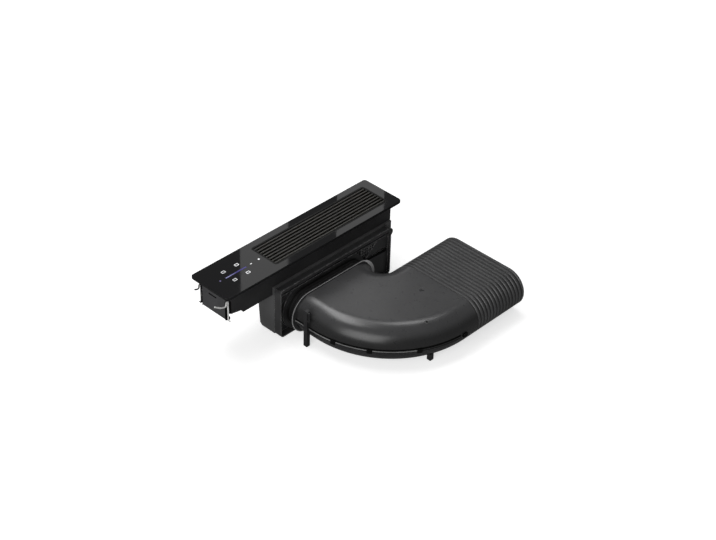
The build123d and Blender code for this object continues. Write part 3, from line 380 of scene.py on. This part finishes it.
def rounded_loop(cx, cy, width, length, radius, steps=5):
    """Points round a rounded rectangle, counter-clockwise."""
    points = []
    corners = ((1, -1, -90), (1, 1, 0), (-1, 1, 90), (-1, -1, 180))
    for sx, sy, start in corners:
        mx = cx + sx * (width / 2 - radius)
        my = cy + sy * (length / 2 - radius)
        for index in range(steps + 1):
            turn = math.radians(start + 90 * index / steps)
            points.append((mx + radius * math.cos(turn), my + radius * math.sin(turn)))
    return points


MARK_T = 0.05


def raised(loops_and_holes, low=GLASS_TOP / MM, high=GLASS_TOP / MM + MARK_T):
    """Verts and faces of thin closed plates between two levels; each entry is (outer, inner or None)."""
    verts, faces = [], []
    for outer, inner in loops_and_holes:
        count = len(outer)
        base = len(verts)
        rings = [(outer, low), (outer, high)]
        if inner:
            rings += [(inner, high), (inner, low)]
        for loop, level in rings:
            verts += [(x, y, level) for x, y in loop]
        for ring in range(len(rings) - (0 if inner else 1)):
            a = base + ring * count
            b = base + (ring + 1) % len(rings) * count
            for index in range(count):
                after = (index + 1) % count
                faces.append((a + index, a + after, b + after, b + index))
        if not inner:
            faces.append(tuple(base + count + index for index in range(count)))
            faces.append(tuple(base + index for index in reversed(range(count))))
    return verts, faces


# width, length and corner radius of the keys' loops, of the holes in them and of their dots
KEY_LOOP, KEY_HOLE, KEY_DOT = (7.4, 9.6, 1.2), (4.6, 6.4, 0.6), (0.7, 1.6, 0.3)
KEY_X, KEY_ROWS = 18.0, (-203.0, -166.0)
white_print = lit("white_print", (0.60, 0.61, 0.62), (0.78, 0.79, 0.80), 0.25, "Y", -0.21, -0.16)
key_loops = []
for key_x in (-KEY_X, KEY_X):
    for key_y in KEY_ROWS:
        key_loops.append((rounded_loop(key_x, key_y, *KEY_LOOP), rounded_loop(key_x, key_y, *KEY_HOLE)))
        key_loops.append((rounded_loop(key_x, key_y, *KEY_DOT), None))
mesh_piece("key_marks", *raised(key_loops), white_print, "light_guide")

# the slider's bars grow wider towards the rear
SLIDER_X, SLIDER_START, SLIDER_END = 1.2, -213.5, -156.0
BAR_STEPS, BAR_W, BAR_GROWTH, BAR_GAP, BAR_R = 20, 2.6, 0.075, 0.5, 0.4
blue_light = lit("blue_light", (0.20, 0.20, 0.38), (0.025, 0.018, 0.14), 0.6, "Y", -0.212, -0.180)
bar_pitch = (SLIDER_END - SLIDER_START) / BAR_STEPS
bars = []
for index in range(BAR_STEPS):
    middle_y = SLIDER_START + bar_pitch * (index + 0.5)
    bar_w = BAR_W + BAR_GROWTH * index
    bars.append((rounded_loop(SLIDER_X, middle_y, bar_w, bar_pitch - BAR_GAP, BAR_R), None))
mesh_piece("slider_mark", *raised(bars), blue_light, "light_guide")

# centre, width, length and corner radius of the single marks
STATUS_BAR, STATUS_DOT = (0.4, -141.7, 2.4, 5.0, 1.0), (-0.3, -119.0, 4.6, 4.6, 2.29)
POWER_DOT = (0.4, -228.0, 4.4, 4.4, 2.19)
status = [(rounded_loop(*mark), None) for mark in (STATUS_BAR, STATUS_DOT)]
mesh_piece("status_marks", *raised(status), white_print, "light_guide")
violet_light = lit("violet_light", (0.05, 0.04, 0.10), (0.08, 0.07, 0.15), 0.6, "X", -0.002, 0.002)
mesh_piece("power_mark", *raised([(rounded_loop(*POWER_DOT), None)]), violet_light, "light_guide")

# matt black band on the glass round the grille's opening: painted shade along the opening's edge
BORDER_W, BORDER_GAP, BORDER_R, BORDER_T = 4.5, 0.3, 1.5, 0.03
grille_low, grille_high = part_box("grille_frame")
centre = (grille_low + grille_high) / 2 / MM
border_loops = []
for reach in (BORDER_W, BORDER_GAP):
    width = (grille_high.x - grille_low.x) / MM + 2 * reach
    length = (grille_high.y - grille_low.y) / MM + 2 * reach
    border_loops.append(rounded_loop(centre.x, centre.y, width, length, BORDER_R + reach))
grille_shade_band = moulded("grille_shade_band", grey(0.0060, 0.0058), grey(0.0095, 0.0090), rough=0.48, grain=0.6 * MM,
                      depth=0.01 * MM, edge=0.2 * MM, wear_and_sheen=grey(0.02), wear_and_sheen_share=0.3, specular=0.15)
border = raised([tuple(border_loops)], high=GLASS_TOP / MM + BORDER_T)
mesh_piece("grille_border", *border, grille_shade_band, "glass_black")


# ---------------------------------------------------------------- rim and seam lines of the bend
def pale_smooth(name, dark, light, wear_and_sheen):
    """Smooth pale plastic with paler edges, from the levels of three greys."""
    return moulded(name, grey(dark), grey(light), rough=0.30, grain=0.6 * MM, depth=0.01 * MM,
                   edge=0.3 * MM, wear_and_sheen=grey(wear_and_sheen), wear_and_sheen_share=0.4)


# pale strip for the painted highlight round the ring's rim
rim_highlight = pale_smooth("rim_highlight", 0.46, 0.62, 0.5)
# near-black matt plastic: painted shade in the slot, the groove, the seam and the lug's hole
painted_shade = moulded("painted_shade", grey(0.0012), grey(0.0024), rough=0.7, grain=0.6 * MM, depth=0.01 * MM,
                   edge=0.2 * MM, wear_and_sheen=grey(0.004), wear_and_sheen_share=0.2, specular=0.1)
# pale plastic for the painted highlight on the seam's flange edge
seam_highlight = pale_smooth("seam_highlight", 0.13, 0.20, 0.4)
soft_rub = pale_smooth("soft_rub", 0.06, 0.085, 0.3)

# the bright line round the ring's rim, a painted highlight, wider at its rear end
RING_LOW, RING_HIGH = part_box("inlet_ring")
RING_FACE = RING_HIGH.x / MM
RING_W = (RING_HIGH.y - RING_LOW.y) / MM
RING_H = (RING_HIGH.z - RING_LOW.z) / MM
RING_Y = (RING_HIGH.y + RING_LOW.y) / 2 / MM
RING_Z = (RING_HIGH.z + RING_LOW.z) / 2 / MM
RIM_INSET, RIM_W, RIM_REAR_W, RIM_T = 0.1, 1.8, 7.5, 0.15
RIM_REAR, RIM_REAR_FOOT = 112.0, -128.0
RIM_FADE_BACK, RIM_FADE_UP = 18.0, 20.0
RIM_STEPS, RIM_SLACK = 16, 0.5


def rim_loop(inset):
    """Points round the ring's face, so far inside its outline, as (y, z)."""
    return rounded_loop(RING_Y, RING_Z, RING_W - 2 * inset, RING_H - 2 * inset,
                        RING_H / 2 - inset - RIM_SLACK, RIM_STEPS)


def ramp(value, start, reach):
    """0 up to a start and 1 from so far beyond it, straight between them."""
    return min(1.0, max(0.0, (value - start) / reach))


rim_outer = rim_loop(RIM_INSET)
rim_inner = []
for (y, z), (thin_y, thin_z), (wide_y, wide_z) in zip(rim_outer, rim_loop(RIM_W), rim_loop(RIM_REAR_W)):
    share = ramp(y, RIM_REAR, RIM_FADE_BACK) * ramp(z, RIM_REAR_FOOT, RIM_FADE_UP)
    rim_inner.append((thin_y + (wide_y - thin_y) * share, thin_z + (wide_z - thin_z) * share))
rim_verts, rim_faces = raised([(rim_outer, rim_inner)], RING_FACE, RING_FACE + RIM_T)
mesh_piece("ring_rim_highlight", [(x, y, z) for y, z, x in rim_verts], rim_faces, rim_highlight, "ring_plastic")

# painted shade inside the front plate's slot: a black lining and a black back
SLOT_AT, SLOT_LONG, SLOT_TALL, SLOT_DEEP = (-2.5, -22.8), 24.9, 3.3, 1.8
SLOT_SHADE_WALL, SLOT_SHADE_INSET, BACK_T, ROUND_SLACK = 0.2, 0.05, 0.3, 0.01
plate_face = -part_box("front_plate")[0].y / MM
slot_outer = rounded_loop(*SLOT_AT, SLOT_LONG, SLOT_TALL, SLOT_TALL / 2 - ROUND_SLACK)
slot_inner = rounded_loop(*SLOT_AT, SLOT_LONG - 2 * SLOT_SHADE_WALL, SLOT_TALL - 2 * SLOT_SHADE_WALL,
                          SLOT_TALL / 2 - SLOT_SHADE_WALL - 2 * ROUND_SLACK)
for name, inner, rear, front in (
    ("slot_shade", slot_inner, plate_face - SLOT_DEEP, plate_face - SLOT_SHADE_INSET),
    ("slot_back_shade", None, plate_face - SLOT_DEEP - BACK_T, plate_face - SLOT_DEEP),
):
    slot_verts, slot_faces = raised([(slot_outer, inner)], rear, front)
    mesh_piece(name, [(x, -y, z) for x, z, y in slot_verts], slot_faces, painted_shade, "plate_coat")

# shade under the groove in the cover's rear panel
PANEL_FACE, SHADE_T, SHADE_ROOT = 63.0, 0.12, 0.3
SHADE_FRONT, SHADE_REAR, SHADE_TOP = 147.0, 208.0, -95.6
SHADE_FRONT_FOOT, SHADE_REAR_FOOT = -101.5, -105.0
shade_side = [(SHADE_FRONT, SHADE_TOP), (SHADE_REAR, SHADE_TOP),
              (SHADE_REAR, SHADE_REAR_FOOT), (SHADE_FRONT, SHADE_FRONT_FOOT)]
shade_verts = [(PANEL_FACE + step, y, z) for step in (-SHADE_ROOT, SHADE_T) for y, z in shade_side]
shade_faces = [(0, 1, 2, 3), (7, 6, 5, 4)] + [(i + 4, (i + 1) % 4 + 4, (i + 1) % 4, i) for i in range(4)]
mesh_piece("groove_shade", shade_verts, shade_faces, painted_shade, "cover_plastic")

# lines along the seam, all painted light: painted shade on the wall above the flange, a painted highlight on
# the flange's edge and painted shade in the gap under it
BEND_FRONT, ARC_X, ARC_Y, ARC_R = -97.0, 139.0, 135.0, 232.0
SEAM_Z, FLANGE_T, FLANGE_REACH = -120.0, 2.4, 1.8
SEAM_START, POST_LEFT, POST_RIGHT = 89.0, 119.0, 130.0
SEAM_SWEEP, EDGE_SWEEP, FACET_SWEEP, STRAIGHT_STEPS = 85.0, 60.0, 1.4, 3


def seam_route(start, stop, sweep):
    """Points and outward directions along the bend's outer wall: straight part, then so much of the arc."""
    route = []
    for index in range(STRAIGHT_STEPS + 1):
        route.append(((start + (stop - start) * index / STRAIGHT_STEPS, BEND_FRONT), (0.0, -1.0)))
    count = int(sweep / FACET_SWEEP)
    for index in range(1, count + 1):
        turn = math.radians(-90 + sweep * index / count)
        out = (math.cos(turn), math.sin(turn))
        route.append(((ARC_X + ARC_R * out[0], ARC_Y + ARC_R * out[1]), out))
    return route


def strip(route, reaches, levels):
    """Closed bar along a route, between two distances from the wall and two heights."""
    near, far = reaches
    low, high = levels
    verts, faces = [], []
    for (x, y), (ox, oy) in route:
        for reach, z in ((near, low), (far, low), (far, high), (near, high)):
            verts.append((x + ox * reach, y + oy * reach, z))
    for index in range(len(route) - 1):
        a = 4 * index
        for side in range(4):
            after = (side + 1) % 4
            faces.append((a + side, a + 4 + side, a + 4 + after, a + after))
    faces.append((0, 1, 2, 3))
    last = len(verts) - 4
    faces.append((last + 3, last + 2, last + 1, last))
    return verts, faces


def strips(name, finish, slot, reaches, levels, sweep=SEAM_SWEEP):
    """One piece of two bars, before and behind the support post."""
    verts, faces = [], []
    for route in (seam_route(SEAM_START, POST_LEFT, 0), seam_route(POST_RIGHT, ARC_X, sweep)):
        more, more_faces = strip(route, reaches, levels)
        faces += [tuple(len(verts) + corner for corner in face) for face in more_faces]
        verts += more
    mesh_piece(name, verts, faces, finish, slot)


FLANGE_TOP = SEAM_Z + FLANGE_T
SEAM_SHADE_TALL, GAP_DROP, GAP_RISE = 4.0, 0.9, 0.4
strips("seam_shade", painted_shade, "bend_plastic", (-0.4, 0.12), (FLANGE_TOP, FLANGE_TOP + SEAM_SHADE_TALL))
strips("seam_edge_highlight", seam_highlight, "bend_plastic", (0.7, FLANGE_REACH + 0.1),
       (SEAM_Z + GAP_RISE, FLANGE_TOP + 0.1), EDGE_SWEEP)
strips("seam_gap_shade", painted_shade, "bend_plastic", (1.0, FLANGE_REACH + 0.15),
       (SEAM_Z - GAP_DROP, SEAM_Z + GAP_RISE))


# ---------------------------------------------------------------- small moulded marks on the bend
TURN_STEPS = 24


def turned(centre, normal, loops):
    """Solid of revolution round a normal: loops are (radius, height) from the outside in."""
    frame_z = Vector(normal).normalized()
    frame_x = Vector((0, 0, 1)).cross(frame_z)
    frame_x = frame_x.normalized() if frame_x.length > 1e-6 else Vector((1, 0, 0))
    frame_y = frame_z.cross(frame_x)
    verts, faces = [], []
    for radius, height in loops:
        for index in range(TURN_STEPS):
            turn = 2 * math.pi * index / TURN_STEPS
            point = Vector(centre) + frame_z * height
            point += frame_x * (radius * math.cos(turn)) + frame_y * (radius * math.sin(turn))
            verts.append(tuple(point))
    for ring in range(len(loops) - 1):
        for index in range(TURN_STEPS):
            after = (index + 1) % TURN_STEPS
            a, b = ring * TURN_STEPS, (ring + 1) * TURN_STEPS
            faces.append((a + index, a + after, b + after, b + index))
    top = (len(loops) - 1) * TURN_STEPS
    faces.append(tuple(top + index for index in range(TURN_STEPS)))
    faces.append(tuple(reversed(range(TURN_STEPS))))
    return verts, faces


def towards(azimuth, elevation):
    """Unit vector from an azimuth, 0 at -Y and 90 at +X, and an elevation, in degrees."""
    azimuth, elevation = math.radians(azimuth), math.radians(elevation)
    flat = math.cos(elevation)
    return Vector((math.sin(azimuth) * flat, -math.cos(azimuth) * flat, math.sin(elevation)))


LUG_AT, LUG_FACING = Vector((325.2, 54.0, -72.4)), towards(66.6, 66.0)
LUG_PROFILE = [(4.6, -0.8), (4.4, 0.7), (3.8, 1.1), (2.5, 1.1), (2.3, 0.5)]
LUG_HOLE_PROFILE = [(2.3, 0.3), (2.3, 0.56), (2.1, 0.62)]
GATE_AT, GATE_FACING = Vector((246.6, 124.0, -69.5)), (0, 0, 1)
GATE_PROFILE = [(5.4, -0.4), (5.4, 0.10), (5.0, 0.22), (4.2, 0.22), (4.0, 0.06)]
lower_plastic = FINISHES["bend_plastic_lower"]
mesh_piece("moulding_lug", *turned(LUG_AT, LUG_FACING, LUG_PROFILE), soft_rub, "bend_plastic")
# a dark disc in the lug's hole: painted shade
mesh_piece("moulding_lug_hole_shade", *turned(LUG_AT, LUG_FACING, LUG_HOLE_PROFILE), painted_shade, "bend_plastic")
mesh_piece("gate_mark", *turned(GATE_AT, GATE_FACING, GATE_PROFILE), lower_plastic, "bend_plastic")


# ---------------------------------------------------------------- camera
CAMERA_AZ = math.radians(43.2986)
CAMERA_EL = math.radians(36.7786)
CAMERA_ROLL = math.radians(1.6606)
CAMERA_FOCAL_PX = 1678.4383
CAMERA_RIGHT = 125.5425
CAMERA_UP = -67.3886
CAMERA_BACK = 3600.6806
PHOTO_W = 716

back = Vector((math.sin(CAMERA_AZ) * math.cos(CAMERA_EL), -math.cos(CAMERA_AZ) * math.cos(CAMERA_EL),
               math.sin(CAMERA_EL)))
level_right = Vector((math.cos(CAMERA_AZ), math.sin(CAMERA_AZ), 0))
level_up = back.cross(level_right)
right = level_right * math.cos(CAMERA_ROLL) + level_up * math.sin(CAMERA_ROLL)
up = level_up * math.cos(CAMERA_ROLL) - level_right * math.sin(CAMERA_ROLL)

camera = bpy.data.objects.new("camera", bpy.data.cameras.new("camera"))
bpy.context.scene.collection.objects.link(camera)
camera.data.sensor_width = 36.0
camera.data.lens = CAMERA_FOCAL_PX * camera.data.sensor_width / PHOTO_W
camera.data.clip_start = 0.05
camera.data.clip_end = 60.0
camera_turn = Matrix((right, up, back)).transposed()
camera_place = (back * CAMERA_BACK + right * CAMERA_RIGHT + up * CAMERA_UP) * MM
camera.matrix_world = Matrix.Translation(camera_place) @ camera_turn.to_4x4()
bpy.context.scene.camera = camera


# ---------------------------------------------------------------- floor and world
# The paper is white to the camera; mirrors see it and the sky darker, as black cloths would be.
FLOOR_REACH, FLOOR_GLOW, GLOW_MIRRORED = 14.0, 0.62, 0.12
corners = ((-1, -1), (1, -1), (1, 1), (-1, 1))
floor_mesh = bpy.data.meshes.new("floor")
floor_verts = [(FLOOR_REACH * sx, FLOOR_REACH * sy, FLOOR_Z) for sx, sy in corners]
floor_mesh.from_pydata(floor_verts, [], [(0, 1, 2, 3)])
floor = bpy.data.objects.new("floor", floor_mesh)
bpy.context.scene.collection.objects.link(floor)
tree = material("floor_paper")
rays = tree.nodes.new("ShaderNodeLightPath")
grain = tree.tone(tree.noise(0.4), grey(0.62), grey(0.64))
paper = tree.add("BsdfDiffuse", None, Color=tree.over(rays.outputs["Is Glossy Ray"], grain, grey(0.12)))
glow_strength = tree.math("MULTIPLY", tree.seen(GLOW_MIRRORED), FLOOR_GLOW)
glow = tree.add("Emission", None, Color=(1, 1, 1, 1), Strength=glow_strength)
both = tree.nodes.new("ShaderNodeAddShader")
tree.links.new(paper.outputs[0], both.inputs[0])
tree.links.new(glow.outputs[0], both.inputs[1])
tree.finish(both.outputs[0])
floor_mesh.materials.append(FINISHES["floor_paper"])

world = bpy.data.worlds.new("studio")
bpy.context.scene.world = world
sky = Tree(world)
AMBIENT, CEILING = 0.30, 0.17
HORIZON_LOW, HORIZON_HIGH = -0.10, 0.05
coords = sky.nodes.new("ShaderNodeTexCoord")
height = sky.add("SeparateXYZ", None, Vector=coords.outputs["Generated"]).outputs["Z"]
mirrored = sky.span(height, HORIZON_LOW, HORIZON_HIGH, 1.0, 0.0)
plain = sky.math("ADD", AMBIENT, sky.math("MULTIPLY", sky.seen(mirrored), 1 - AMBIENT))
rays = sky.nodes.new("ShaderNodeLightPath")
dimming = sky.span(height, HORIZON_LOW, HORIZON_HIGH, 0.0, AMBIENT - CEILING)
dimmed = sky.math("MULTIPLY", rays.outputs["Is Glossy Ray"], dimming)
sky_light = sky.add("Background", None, Color=(1, 1, 1, 1), Strength=sky.math("SUBTRACT", plain, dimmed))
world_out = sky.nodes.new("ShaderNodeOutputWorld")
sky.links.new(sky_light.outputs[0], world_out.inputs["Surface"])


# ---------------------------------------------------------------- lamps
def softbox(name, place, aim, width, height, radiance, along=(1, 0, 0)):
    """Rectangular lamp that faces a point, its width along a direction, as bright whatever its size."""
    lamp = bpy.data.lights.new(name, "AREA")
    lamp.shape = "RECTANGLE"
    lamp.size = width
    lamp.size_y = height
    lamp.energy = radiance * math.pi * width * height
    holder = bpy.data.objects.new(name, lamp)
    bpy.context.scene.collection.objects.link(holder)
    behind = (Vector(place) - Vector(aim)).normalized()
    side = Vector(along)
    side = (side - behind * side.dot(behind)).normalized()
    basis = Matrix((side, behind.cross(side), behind)).transposed()
    holder.matrix_world = Matrix.Translation(place) @ basis.to_4x4()
    holder.visible_camera = False


# two upright cards behind the object, mirrored in the glass; start and end are along the camera's right
CARD_BACK, CARD_MIDDLE_Z, CARD_TALL, CARD_RADIANCE = 1.8, 1.3, 1.0, 1.8
away = Vector((-math.sin(CAMERA_AZ), math.cos(CAMERA_AZ), 0))
for name, start, end in (("card_front", -0.286, -0.118), ("card_rear", 0.049, 0.209)):
    middle = away * CARD_BACK + level_right * (start + end) / 2 + Vector((0, 0, CARD_MIDDLE_Z))
    softbox(name, middle, middle - away, end - start, CARD_TALL, CARD_RADIANCE, level_right)

# three lamps for the bend's highlights, placed from its middle
BEND_MIDDLE = Vector((0.2, -0.03, -0.07))
softbox("top_left", BEND_MIDDLE + Vector((-1.07, -0.05, 2.4)), BEND_MIDDLE,
        width=2.1, height=0.74, radiance=7.0, along=(0.60, -0.80, 0))
softbox("top_rear", BEND_MIDDLE + Vector((-0.38, 1.03, 2.4)), BEND_MIDDLE,
        width=0.75, height=0.64, radiance=6.2, along=(0.98, 0.1, 0))
softbox("front", BEND_MIDDLE + Vector((0.78, -2.12, 1.02)), BEND_MIDDLE,
        width=1.9, height=1.60, radiance=3.4)

bpy.context.scene.view_settings.view_transform = "Standard"
